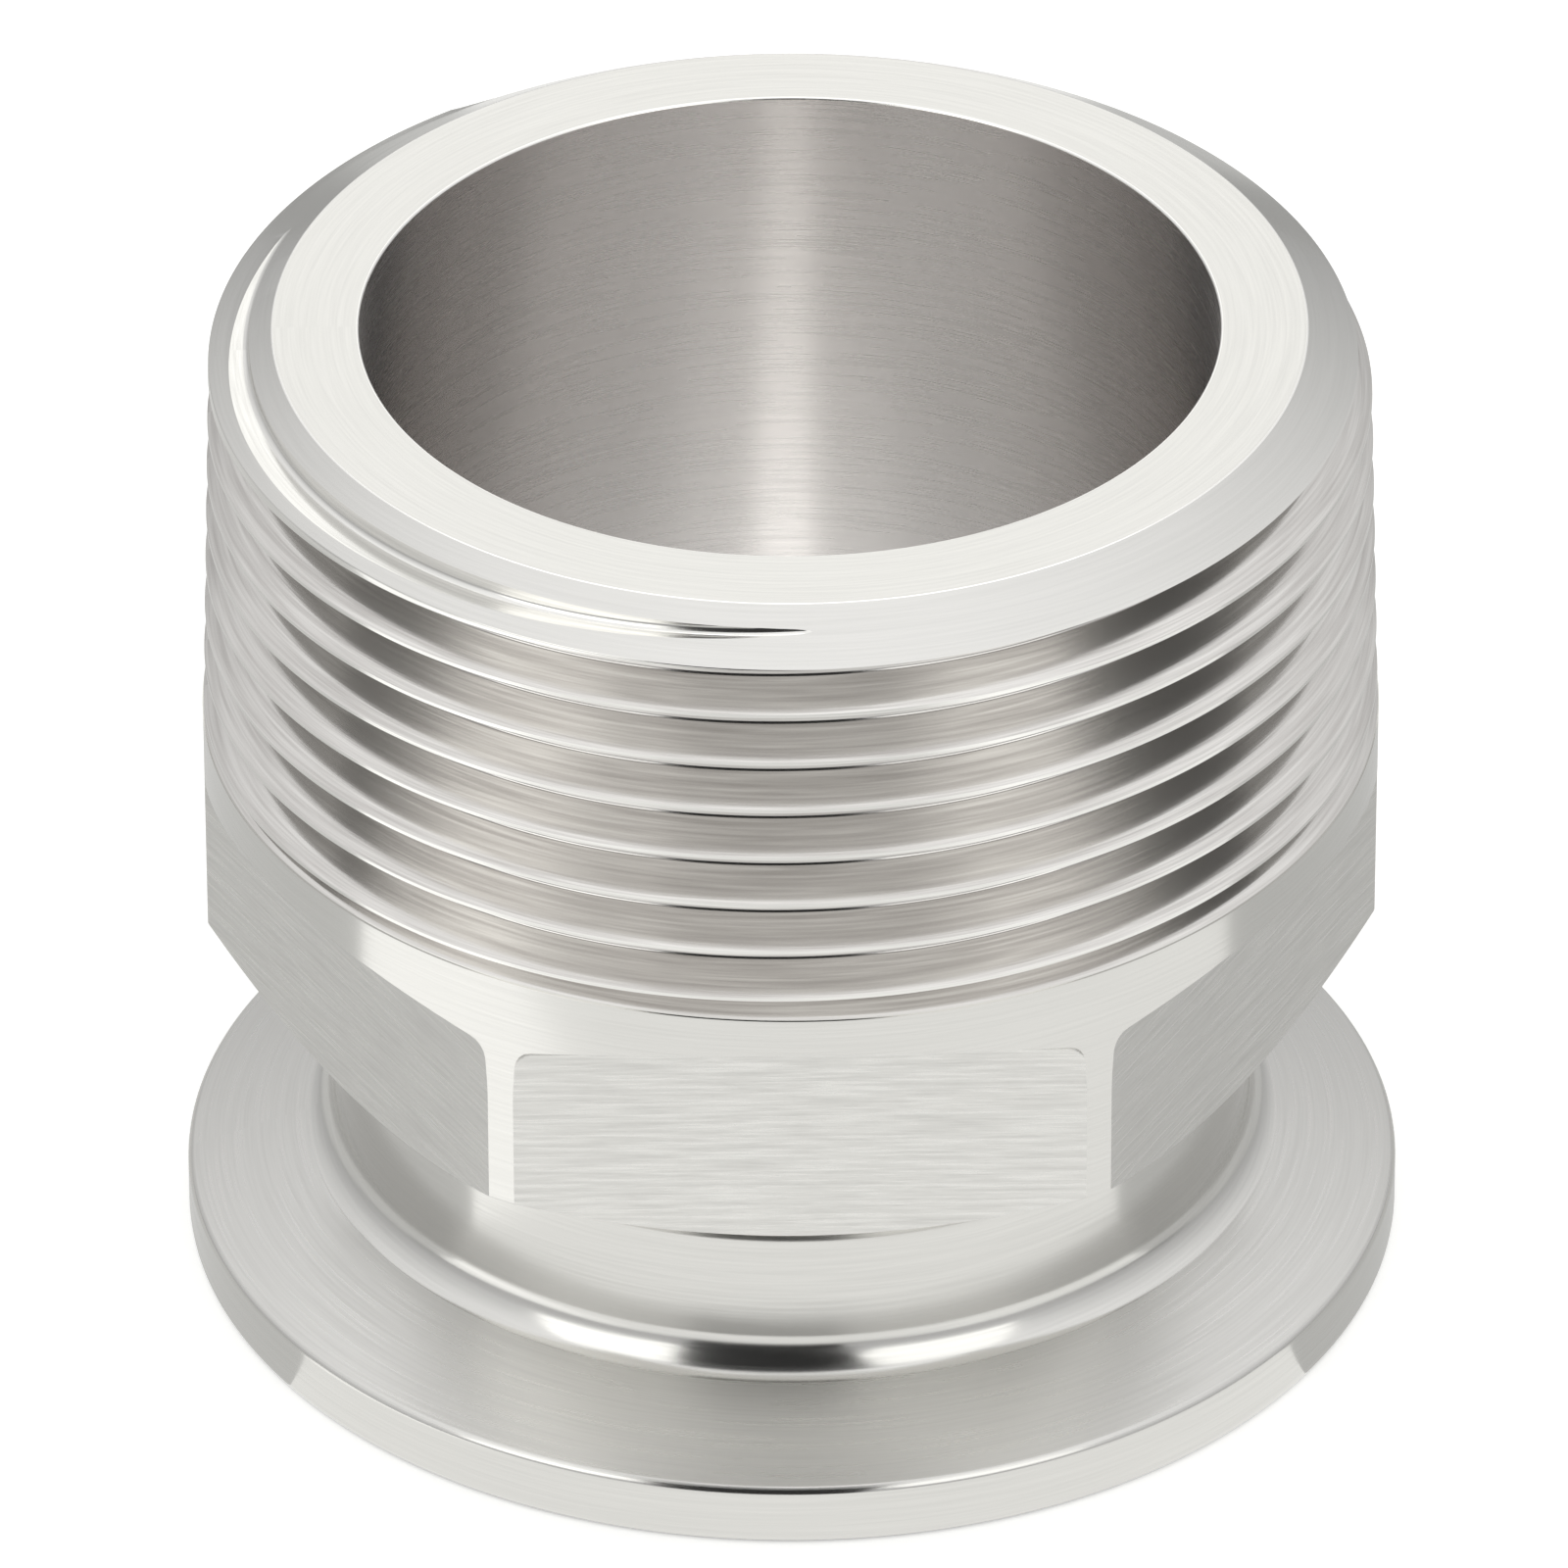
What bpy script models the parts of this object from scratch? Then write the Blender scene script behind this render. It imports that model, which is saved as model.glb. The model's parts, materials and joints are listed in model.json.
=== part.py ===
"""Sanitary clamp threaded adapter, turned and milled from one stainless steel bar.

From the bottom up: a clamp ferrule with a gasket groove in its sealing face and a 20 degree back,
a plain neck, six wrench flats milled into a round body, a short collar, and an external tapered
pipe thread that ends in a chamfered mouth. One straight bore runs through everything.

The axis is Z, the sealing face lies on z = 0, and one wrench flat faces -Y.
"""
import math

import bmesh
import bpy

MM = 0.001

# Bar, bore and overall length
BODY_DIAMETER = 48.3 * MM
BORE_DIAMETER = 34.9 * MM
BORE_EDGE_BREAK = 0.12 * MM
LENGTH = 42.87 * MM

# Clamp ferrule
FERRULE_DIAMETER = 50.4 * MM
RIM_HEIGHT = 2.64 * MM
RIM_EDGE_RADIUS = 0.4 * MM
FERRULE_BACK_ANGLE = math.radians(20)
GASKET_GROOVE_RADIUS = 1.2 * MM
GASKET_GROOVE_DEPTH = 1.3 * MM
GASKET_GROOVE_FLOOR = 0.1 * MM
GASKET_GROOVE_SIDE_ANGLE = math.radians(20)
# Where the groove lies between the bore, at 0, and the rim, at 1
GASKET_GROOVE_PLACE = 0.56

# Neck, and the cone under the wrench flats
NECK_WALL = 1.6 * MM
NECK_FILLET_RADIUS = 1.7 * MM
SHOULDER_HEIGHT = 14.22 * MM
SHOULDER_ANGLE = math.radians(30)
SHOULDER_FILLET_RADIUS = 1.2 * MM

# Wrench flats
FLAT_COUNT = 6
ACROSS_FLATS = 42.4 * MM
FLAT_TOP_HEIGHT = 21.63 * MM
FLAT_WALL_ANGLE = math.radians(30)
FLAT_CUTTER_RADIUS = 0.5 * MM

# Tapered thread, right-handed, 11.5 turns to the inch, with 60 degrees between its flanks
THREAD_PITCH = 2.2087 * MM
THREAD_TAPER = 1 / 16
THREAD_SMALL_END_DIAMETER = 47.12 * MM
THREAD_FLANK_ANGLE = math.radians(30)
CREST_FLAT = 0.12 * MM
ROOT_FLAT = 0.35 * MM
COLLAR_TOP_HEIGHT = 25.0 * MM
RUNOUT_LAND = 0.1 * MM
RUNOUT_ANGLE = math.radians(30)
FIRST_GROOVE_DEPTH_BELOW_MOUTH = 0.3 * MM
FIRST_GROOVE_AZIMUTH = math.radians(-90)

# Chamfered mouth
MOUTH_CHAMFER_WIDTH = 2.56 * MM
MOUTH_CHAMFER_ANGLE = math.radians(29.5)

# Facets, the edges that stay sharp, and the room of cutters around the metal they remove
SEGMENTS = 72
SHARP_ANGLE = math.radians(20)
CUTTER_MARGIN = 2.0 * MM
LEAST_LAND = 0.1 * MM
TURNS_ABOVE_MOUTH = 0.75
TURNS_BELOW_COLLAR = 1

STEEL_COLOUR = (0.62, 0.61, 0.58, 1.0)
STEEL_ROUGHNESS = 0.28


def arc_points(corner, before, after, radius, steps):
    """Points of the fillet that rounds the corner between its two neighbours."""
    to_before = (before[0] - corner[0], before[1] - corner[1])
    to_after = (after[0] - corner[0], after[1] - corner[1])
    reach_before = math.hypot(*to_before)
    reach_after = math.hypot(*to_after)
    unit_before = (to_before[0] / reach_before, to_before[1] / reach_before)
    unit_after = (to_after[0] / reach_after, to_after[1] / reach_after)
    cosine = unit_before[0] * unit_after[0] + unit_before[1] * unit_after[1]
    half_angle = math.acos(cosine) / 2
    tangent = radius / math.tan(half_angle)
    bisector = (unit_before[0] + unit_after[0], unit_before[1] + unit_after[1])
    bisector_length = math.hypot(*bisector)
    centre_distance = radius / math.sin(half_angle)
    centre = (corner[0] + bisector[0] / bisector_length * centre_distance,
              corner[1] + bisector[1] / bisector_length * centre_distance)
    first = (corner[0] + unit_before[0] * tangent, corner[1] + unit_before[1] * tangent)
    last = (corner[0] + unit_after[0] * tangent, corner[1] + unit_after[1] * tangent)
    start = math.atan2(first[1] - centre[1], first[0] - centre[0])
    end = math.atan2(last[1] - centre[1], last[0] - centre[0])
    sweep = (end - start + math.pi) % (2 * math.pi) - math.pi
    points = []
    for step in range(steps + 1):
        angle = start + sweep * step / steps
        points.append((centre[0] + radius * math.cos(angle), centre[1] + radius * math.sin(angle)))
    return points


def rounded_outline(corners):
    """Outline through corners of (x, z, fillet radius, fillet steps); radius 0 stays sharp."""
    outline = []
    count = len(corners)
    for index, (x, z, radius, steps) in enumerate(corners):
        if radius == 0:
            outline.append((x, z))
            continue
        before = corners[index - 1][:2]
        after = corners[(index + 1) % count][:2]
        outline.extend(arc_points((x, z), before, after, radius, steps))
    return outline


def mesh_object(name, bm):
    """Object from a finished bmesh, with its faces pointing outwards."""
    bmesh.ops.recalc_face_normals(bm, faces=bm.faces[:])
    mesh = bpy.data.meshes.new(name)
    bm.to_mesh(mesh)
    bm.free()
    obj = bpy.data.objects.new(name, mesh)
    bpy.context.scene.collection.objects.link(obj)
    return obj


def turned(name, outline):
    """Solid made by turning a closed outline of (radius, height) round the Z axis."""
    bm = bmesh.new()
    ring = [bm.verts.new((radius, 0, height)) for radius, height in outline]
    edges = [bm.edges.new((vert, ring[(index + 1) % len(ring)])) for index, vert in enumerate(ring)]
    bmesh.ops.spin(bm, geom=ring + edges, cent=(0, 0, 0), axis=(0, 0, 1), angle=2 * math.pi,
                   steps=SEGMENTS, use_merge=True)
    return mesh_object(name, bm)


def neck_radius():
    """Outer radius of the tube between the ferrule and the flats."""
    return BORE_DIAMETER / 2 + NECK_WALL


def shoulder_start_height():
    """Height at which the cone under the flats would meet the neck."""
    rise = (BODY_DIAMETER / 2 - neck_radius()) * math.tan(SHOULDER_ANGLE)
    return SHOULDER_HEIGHT - rise


def crest_radius(height):
    """Radius over the thread's crests; it grows towards the collar."""
    return THREAD_SMALL_END_DIAMETER / 2 + (LENGTH - height) * THREAD_TAPER / 2


def groove_corners():
    """The gasket groove in the sealing face, a round-bottomed channel with sloping sides."""
    bore = BORE_DIAMETER / 2
    middle = bore + (FERRULE_DIAMETER / 2 - bore) * GASKET_GROOVE_PLACE
    slope = math.tan(GASKET_GROOVE_SIDE_ANGLE)
    # The two fillets and a narrow floor between them make a nearly round bottom.
    fillet_reach = GASKET_GROOVE_RADIUS * math.tan((math.pi / 2 - GASKET_GROOVE_SIDE_ANGLE) / 2)
    half_floor = fillet_reach + GASKET_GROOVE_FLOOR / 2
    half_mouth = half_floor + GASKET_GROOVE_DEPTH * slope
    floor_steps = 2
    return [
        (middle - half_mouth, 0, 0, 0),
        (middle - half_floor, GASKET_GROOVE_DEPTH, GASKET_GROOVE_RADIUS, floor_steps),
        (middle + half_floor, GASKET_GROOVE_DEPTH, GASKET_GROOVE_RADIUS, floor_steps),
        (middle + half_mouth, 0, 0, 0),
    ]


def body_outline():
    """Section of the turned blank, before the flats are milled and the thread is cut."""
    bore = BORE_DIAMETER / 2
    rim = FERRULE_DIAMETER / 2
    neck = neck_radius()
    body = BODY_DIAMETER / 2
    bore_edge = bore + BORE_EDGE_BREAK
    mouth = max(crest_radius(LENGTH) - MOUTH_CHAMFER_WIDTH, bore_edge + LEAST_LAND)
    back_height = RIM_HEIGHT + (rim - neck) * math.tan(FERRULE_BACK_ANGLE)
    drop = math.tan(MOUTH_CHAMFER_ANGLE)
    # The chamfer runs out where its cone meets the tapered crests.
    half_taper = THREAD_TAPER / 2
    chamfer_radius = (crest_radius(LENGTH) - mouth * drop * half_taper) / (1 - drop * half_taper)
    chamfer_height = LENGTH - (chamfer_radius - mouth) * drop
    edge_steps = 2
    neck_steps = 4
    shoulder_steps = 3
    gasket_groove = groove_corners()
    # The rounding under the rim stops short of the gasket groove.
    rim_land = rim - gasket_groove[-1][0]
    corners = [(bore, 0, 0, 0)]
    corners += gasket_groove
    corners += [
        (rim, 0, min(RIM_EDGE_RADIUS, rim_land / 2), edge_steps),
        (rim, RIM_HEIGHT, RIM_EDGE_RADIUS, edge_steps),
        (neck, back_height, NECK_FILLET_RADIUS, neck_steps),
        (neck, shoulder_start_height(), SHOULDER_FILLET_RADIUS, shoulder_steps),
        (body, SHOULDER_HEIGHT, 0, 0),
        (body, COLLAR_TOP_HEIGHT, 0, 0),
        (crest_radius(COLLAR_TOP_HEIGHT), COLLAR_TOP_HEIGHT, 0, 0),
        (chamfer_radius, chamfer_height, 0, 0),
        (mouth, LENGTH, 0, 0),
        (bore_edge, LENGTH, 0, 0),
        (bore, LENGTH - BORE_EDGE_BREAK, 0, 0),
    ]
    return rounded_outline(corners)


def flat_cutter(number):
    """Prism that mills one wrench flat; its upper wall slopes out at the mill's angle."""
    apothem = ACROSS_FLATS / 2
    outer = max(BODY_DIAMETER, FERRULE_DIAMETER) / 2 + CUTTER_MARGIN
    wall_height = FLAT_TOP_HEIGHT + (outer - apothem) * math.tan(FLAT_WALL_ANGLE)
    bottom = shoulder_start_height()
    nose_steps = 3
    section = rounded_outline([
        (apothem, bottom, 0, 0),
        (outer, bottom, 0, 0),
        (outer, wall_height, 0, 0),
        (apothem, FLAT_TOP_HEIGHT, FLAT_CUTTER_RADIUS, nose_steps),
    ])
    azimuth = math.radians(-90) + 2 * math.pi * number / FLAT_COUNT
    out = (math.cos(azimuth), math.sin(azimuth))
    along = (-out[1], out[0])
    bm = bmesh.new()
    verts = []
    for distance, height in section:
        x = out[0] * distance - along[0] * outer
        y = out[1] * distance - along[1] * outer
        verts.append(bm.verts.new((x, y, height)))
    face = bm.faces.new(verts)
    sides = bmesh.ops.extrude_face_region(bm, geom=[face])
    moved = [item for item in sides["geom"] if isinstance(item, bmesh.types.BMVert)]
    shift = (along[0] * 2 * outer, along[1] * 2 * outer, 0)
    bmesh.ops.translate(bm, verts=moved, vec=shift)
    return mesh_object(f"flat_cutter_{number}", bm)


def thread_section(height):
    """The four corners of the thread groove's section, at a height of the groove's middle."""
    slope = math.tan(THREAD_FLANK_ANGLE)
    depth = (THREAD_PITCH - CREST_FLAT - ROOT_FLAT) / 2 / slope
    root = crest_radius(height) - depth
    # Beyond the crests the cutter widens until its turns are half a crest flat apart.
    half_mouth = (THREAD_PITCH - CREST_FLAT / 2) / 2
    outer = root + (half_mouth - ROOT_FLAT / 2) / slope
    return [
        (root, height - ROOT_FLAT / 2),
        (root, height + ROOT_FLAT / 2),
        (outer, height + half_mouth),
        (outer, height - half_mouth),
    ]


def thread_cutter():
    """Helical bar that cuts the thread groove, from above the mouth to below the run-out."""
    reference = LENGTH - FIRST_GROOVE_DEPTH_BELOW_MOUTH
    turns_above = (LENGTH - reference) / THREAD_PITCH + TURNS_ABOVE_MOUTH
    turns_below = (reference - COLLAR_TOP_HEIGHT) / THREAD_PITCH + TURNS_BELOW_COLLAR
    first = -round(turns_below * SEGMENTS)
    last = round(turns_above * SEGMENTS)
    bm = bmesh.new()
    previous = None
    for step in range(first, last + 1):
        azimuth = FIRST_GROOVE_AZIMUTH + 2 * math.pi * step / SEGMENTS
        height = reference + THREAD_PITCH * step / SEGMENTS
        section = []
        for radius, z in thread_section(height):
            section.append(bm.verts.new((radius * math.cos(azimuth), radius * math.sin(azimuth), z)))
        if previous is None:
            bm.faces.new(section)
        else:
            for index in range(4):
                after = (index + 1) % 4
                bm.faces.new((previous[index], previous[after], section[after], section[index]))
        previous = section
    bm.faces.new(reversed(previous))
    bmesh.ops.triangulate(bm, faces=bm.faces[:])
    return mesh_object("thread_cutter", bm)


def runout_stop():
    """Cone that the thread groove climbs out on, so that it never reaches the collar."""
    end_height = COLLAR_TOP_HEIGHT + RUNOUT_LAND
    end_radius = crest_radius(end_height)
    slope = math.tan(RUNOUT_ANGLE)
    inner = BORE_DIAMETER / 2
    outer = end_radius + CUTTER_MARGIN
    bottom = COLLAR_TOP_HEIGHT - (TURNS_BELOW_COLLAR + 1) * THREAD_PITCH - CUTTER_MARGIN
    return turned("runout_stop", [
        (inner, bottom),
        (outer, bottom),
        (outer, end_height - (outer - end_radius) * slope),
        (inner, end_height + (end_radius - inner) * slope),
    ])


def cut(target, cutter):
    """Take the cutter's shape out of the target, and keep the cutter as a hidden guide."""
    modifier = target.modifiers.new(cutter.name, "BOOLEAN")
    modifier.operation = "DIFFERENCE"
    modifier.solver = "EXACT"
    modifier.object = cutter
    cutter.hide_render = True
    cutter.display_type = "WIRE"


def steel():
    """Satin stainless steel."""
    material = bpy.data.materials.new("satin_stainless_steel")
    material.use_nodes = True
    shader = material.node_tree.nodes["Principled BSDF"]
    shader.inputs["Base Color"].default_value = STEEL_COLOUR
    shader.inputs["Metallic"].default_value = 1.0
    shader.inputs["Roughness"].default_value = STEEL_ROUGHNESS
    return material


def apply_cuts(obj):
    """Turn the object's live cuts into its own mesh, and drop the cutters."""
    cutters = [modifier.object for modifier in obj.modifiers]
    graph = bpy.context.evaluated_depsgraph_get()
    finished = bpy.data.meshes.new_from_object(obj.evaluated_get(graph))
    obj.modifiers.clear()
    obj.data = finished
    for cutter in cutters:
        bpy.data.objects.remove(cutter, do_unlink=True)


def build():
    for obj in list(bpy.data.objects):
        bpy.data.objects.remove(obj, do_unlink=True)
    body = turned("adapter_body", body_outline())
    for number in range(FLAT_COUNT):
        cut(body, flat_cutter(number))
    groove = thread_cutter()
    stop = runout_stop()
    cut(groove, stop)
    cut(body, groove)
    apply_cuts(body)
    bpy.data.objects.remove(stop, do_unlink=True)
    body.data.materials.clear()
    body.data.materials.append(steel())
    body.data.shade_smooth()
    body.data.set_sharp_from_angle(angle=SHARP_ANGLE)


build()
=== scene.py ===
# %% [markdown]
# A sanitary clamp threaded adapter joins a hygienic tube line to an ordinary pipe. One end is a
# clamp ferrule, the other an external tapered pipe thread, and six flats between them take a
# wrench. The whole fitting is one bar of stainless steel, turned on a lathe and then milled.
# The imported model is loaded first. It fixes the place and the size of everything that follows.

# %% Load the frame
import json
import math

import bpy
from mathutils import Matrix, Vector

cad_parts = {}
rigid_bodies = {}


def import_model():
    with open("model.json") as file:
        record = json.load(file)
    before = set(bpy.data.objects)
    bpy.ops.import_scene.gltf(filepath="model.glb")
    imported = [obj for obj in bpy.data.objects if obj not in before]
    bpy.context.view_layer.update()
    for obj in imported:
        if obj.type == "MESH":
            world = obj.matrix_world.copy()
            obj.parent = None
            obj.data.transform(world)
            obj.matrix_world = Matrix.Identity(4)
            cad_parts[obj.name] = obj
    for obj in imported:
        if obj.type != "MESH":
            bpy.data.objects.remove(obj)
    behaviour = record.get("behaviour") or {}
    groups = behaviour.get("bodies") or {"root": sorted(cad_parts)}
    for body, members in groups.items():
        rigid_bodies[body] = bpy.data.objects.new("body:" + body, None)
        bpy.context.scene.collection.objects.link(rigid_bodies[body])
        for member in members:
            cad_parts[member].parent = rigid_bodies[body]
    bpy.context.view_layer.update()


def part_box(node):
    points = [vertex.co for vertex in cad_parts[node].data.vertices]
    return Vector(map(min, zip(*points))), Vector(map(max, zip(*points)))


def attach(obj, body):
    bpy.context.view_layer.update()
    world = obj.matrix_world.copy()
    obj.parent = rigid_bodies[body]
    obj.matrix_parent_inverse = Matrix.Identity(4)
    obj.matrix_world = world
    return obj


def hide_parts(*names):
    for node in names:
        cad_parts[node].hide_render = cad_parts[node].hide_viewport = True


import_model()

MM = 0.001
BODY_NODE = "adapter_body"

# %% [markdown]
# A turned part is known by its section. These are the sizes that a drawing of it would give. The
# two that the frame already knows, the overall length and the ferrule's diameter, are read from it.

# %% Sizes of the fitting
lowest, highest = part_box(BODY_NODE)
LENGTH = highest.z
FERRULE_RADIUS = highest.x
BORE_RADIUS = 17.45 * MM
BORE_EDGE_BREAK = 0.12 * MM
BODY_RADIUS = 24.15 * MM
NECK_RADIUS = BORE_RADIUS + 1.6 * MM
RIM_HEIGHT = 2.64 * MM
FERRULE_BACK_ANGLE = math.radians(20)
SHOULDER_HEIGHT = 14.22 * MM
SHOULDER_ANGLE = math.radians(30)
COLLAR_TOP = 25.0 * MM
FLAT_DISTANCE = 21.2 * MM
FLAT_COUNT = 6
THREAD_PITCH = 2.2087 * MM
THREAD_TAPER = 1 / 16
CREST_RADIUS_AT_MOUTH = 23.56 * MM
MOUTH_RADIUS = 21.0 * MM
CHAMFER_RADIUS = 23.05 * MM
CHAMFER_DEPTH = 1.24 * MM
LEDGE_DEPTH = 1.46 * MM
SIDES = 288
MERGE_DISTANCE = 0.0001 * MM
print("length in mm:", round(LENGTH / MM, 2), "and ferrule diameter:", round(2 * FERRULE_RADIUS / MM, 2))

# %% [markdown]
# The lathe leaves a solid of revolution, so the blank is drawn as its section and spun. The
# section starts as a single point that is extruded from corner to corner, the way a turner's
# drawing is read. Each corner that the real part rounds is then bevelled by its own radius, and
# only after that is the outline spun round the axis.

# %% Helpers for edit mode
def deselect_all():
    """Leave every object unselected, because operators act on all that is selected."""
    if bpy.context.object and bpy.context.object.mode != "OBJECT":
        bpy.ops.object.mode_set(mode="OBJECT")
    bpy.ops.object.select_all(action="DESELECT")


def select_only(piece):
    """Make one object the selected and active one."""
    deselect_all()
    piece.select_set(True)
    bpy.context.view_layer.objects.active = piece


def pick(piece, kind, test):
    """In edit mode, select the vertices, edges or faces of a piece that pass a test."""
    bpy.ops.mesh.select_mode(type=kind)
    bpy.ops.mesh.select_all(action="DESELECT")
    bpy.ops.object.mode_set(mode="OBJECT")
    parts = {"VERT": piece.data.vertices, "EDGE": piece.data.edges, "FACE": piece.data.polygons}[kind]
    count = 0
    for part in parts:
        part.select = bool(test(part))
        count += part.select
    bpy.ops.object.mode_set(mode="EDIT")
    return count


def apply_modifier(piece, kind, **settings):
    """Add a modifier with its settings and apply it at once."""
    select_only(piece)
    modifier = piece.modifiers.new(kind.lower(), kind)
    for name, value in settings.items():
        setattr(modifier, name, value)
    bpy.ops.object.modifier_apply(modifier=modifier.name)


# %% Draw a section by extruding a point round it
def extrude_outline(name, corners):
    """A closed outline in the XZ plane through the corners (radius, height), left in edit mode."""
    deselect_all()
    bpy.ops.mesh.primitive_plane_add(size=MM, location=(0, 0, 0))
    outline = bpy.context.object
    outline.name = name
    bpy.ops.object.mode_set(mode="EDIT")
    bpy.ops.mesh.select_mode(type="VERT")
    bpy.ops.mesh.select_all(action="SELECT")
    bpy.ops.mesh.merge(type="CENTER")
    start = corners[0]
    bpy.ops.transform.translate(value=(start[0], 0, start[1]))
    for before, after in zip(corners, corners[1:]):
        step = (after[0] - before[0], 0, after[1] - before[1])
        bpy.ops.mesh.extrude_vertices_move(TRANSFORM_OT_translate={"value": step})
    bpy.ops.mesh.select_all(action="SELECT")
    bpy.ops.mesh.edge_face_add()
    return outline


def round_corner(outline, corners, index, radius, segments):
    """Round one corner of the drawn outline; the bevel reaches to where the arc is tangent."""
    x, z = corners[index]
    before = corners[index - 1]
    after = corners[(index + 1) % len(corners)]
    angle_before = math.atan2(before[1] - z, before[0] - x)
    angle_after = math.atan2(after[1] - z, after[0] - x)
    opening = abs((angle_after - angle_before + math.pi) % (2 * math.pi) - math.pi)
    reach = radius / math.tan(opening / 2)
    nearby = 0.001 * MM
    found = pick(outline, "VERT", lambda v: math.hypot(v.co.x - x, v.co.z - z) < nearby)
    assert found == 1, f"corner {index} of {outline.name} was found {found} times"
    bpy.ops.mesh.bevel(offset=reach, offset_type="OFFSET", segments=segments, affect="VERTICES")


def spin_outline(outline):
    """Turn the outline once round the Z axis, and leave one closed shell."""
    bpy.ops.mesh.select_all(action="SELECT")
    bpy.ops.mesh.delete(type="ONLY_FACE")
    bpy.ops.mesh.select_all(action="SELECT")
    bpy.ops.mesh.spin(steps=SIDES, angle=2 * math.pi, center=(0, 0, 0), axis=(0, 0, 1),
                      use_auto_merge=True)
    bpy.ops.mesh.select_all(action="SELECT")
    bpy.ops.mesh.remove_doubles(threshold=MERGE_DISTANCE)
    bpy.ops.mesh.normals_make_consistent(inside=False)
    bpy.ops.object.mode_set(mode="OBJECT")


# %% [markdown]
# The section of this fitting runs from the bore along the sealing face, with its gasket groove,
# round the rim, up the ferrule's 20 degree back and the neck, out under the flats, up the body and
# the collar, along the tapered crests and over the mouth: a narrow ledge, where the thread's first
# crest is faced off, and the wide chamfer. Fillets come from the lathe tool's nose: a generous
# one at the foot of the neck and a smaller one above it.

# %% Corners of the section
def crest_radius(height):
    """Radius over the thread's crests, which grows towards the collar."""
    return CREST_RADIUS_AT_MOUTH + (LENGTH - height) * THREAD_TAPER / 2


back_height = RIM_HEIGHT + (FERRULE_RADIUS - NECK_RADIUS) * math.tan(FERRULE_BACK_ANGLE)
under_height = SHOULDER_HEIGHT - (BODY_RADIUS - NECK_RADIUS) * math.tan(SHOULDER_ANGLE)

GROOVE_MIDDLE = 21.79 * MM
GROOVE_DEPTH = 1.3 * MM
GROOVE_NOSE = 1.2 * MM
GROOVE_HALF_FLOOR = 0.89 * MM
GROOVE_HALF_MOUTH = 1.363 * MM

section = [
    (BORE_RADIUS, 0),
    (GROOVE_MIDDLE - GROOVE_HALF_MOUTH, 0),
    (GROOVE_MIDDLE - GROOVE_HALF_FLOOR, GROOVE_DEPTH),
    (GROOVE_MIDDLE + GROOVE_HALF_FLOOR, GROOVE_DEPTH),
    (GROOVE_MIDDLE + GROOVE_HALF_MOUTH, 0),
    (FERRULE_RADIUS, 0),
    (FERRULE_RADIUS, RIM_HEIGHT),
    (NECK_RADIUS, back_height),
    (NECK_RADIUS, under_height),
    (BODY_RADIUS, SHOULDER_HEIGHT),
    (BODY_RADIUS, COLLAR_TOP),
    (crest_radius(COLLAR_TOP), COLLAR_TOP),
    (crest_radius(LENGTH - LEDGE_DEPTH), LENGTH - LEDGE_DEPTH),
    (CHAMFER_RADIUS, LENGTH - CHAMFER_DEPTH),
    (MOUTH_RADIUS, LENGTH),
    (BORE_RADIUS, LENGTH),
]
# Each rounding: the corner's number in the section, its radius and its facets
roundings = [
    (2, GROOVE_NOSE, 6),
    (3, GROOVE_NOSE, 6),
    (5, 0.4 * MM, 5),
    (6, 0.4 * MM, 5),
    (7, 1.7 * MM, 12),
    (8, 1.2 * MM, 10),
    (9, 0.08 * MM, 2),
    (10, 0.04 * MM, 2),
    (12, 0.06 * MM, 3),
    (14, 0.14 * MM, 3),
    (15, BORE_EDGE_BREAK, 4),
]
print("section:", len(section), "corners,", len(roundings), "of them rounded")

# %% Turn the blank
body = extrude_outline("turned_body", section)
for number, radius, facets in roundings:
    round_corner(body, section, number, radius, facets)
spin_outline(body)
print("turned blank:", len(body.data.polygons), "faces")

# %% [markdown]
# The wrench flats are milled. The cutter leaves each flat plane, and its rounded corner leaves a
# small fillet under a wall that slopes out to the collar. So each flat is cut by a block whose
# inner upper edge has that shape. One block is modelled, and turned copies of it cut the six flats.

# %% The block that mills a flat
FLAT_TOP = 21.63 * MM
FLAT_WALL_ANGLE = math.radians(30)
MILL_CORNER_RADIUS = 0.5 * MM
MILL_CORNER_FACETS = 6
BLOCK_DEPTH = 6 * MM
BLOCK_WIDTH = 23.3 * MM
FLAT_CORNER_RADIUS = 0.8 * MM
FLAT_CORNER_FACETS = 5


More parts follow.
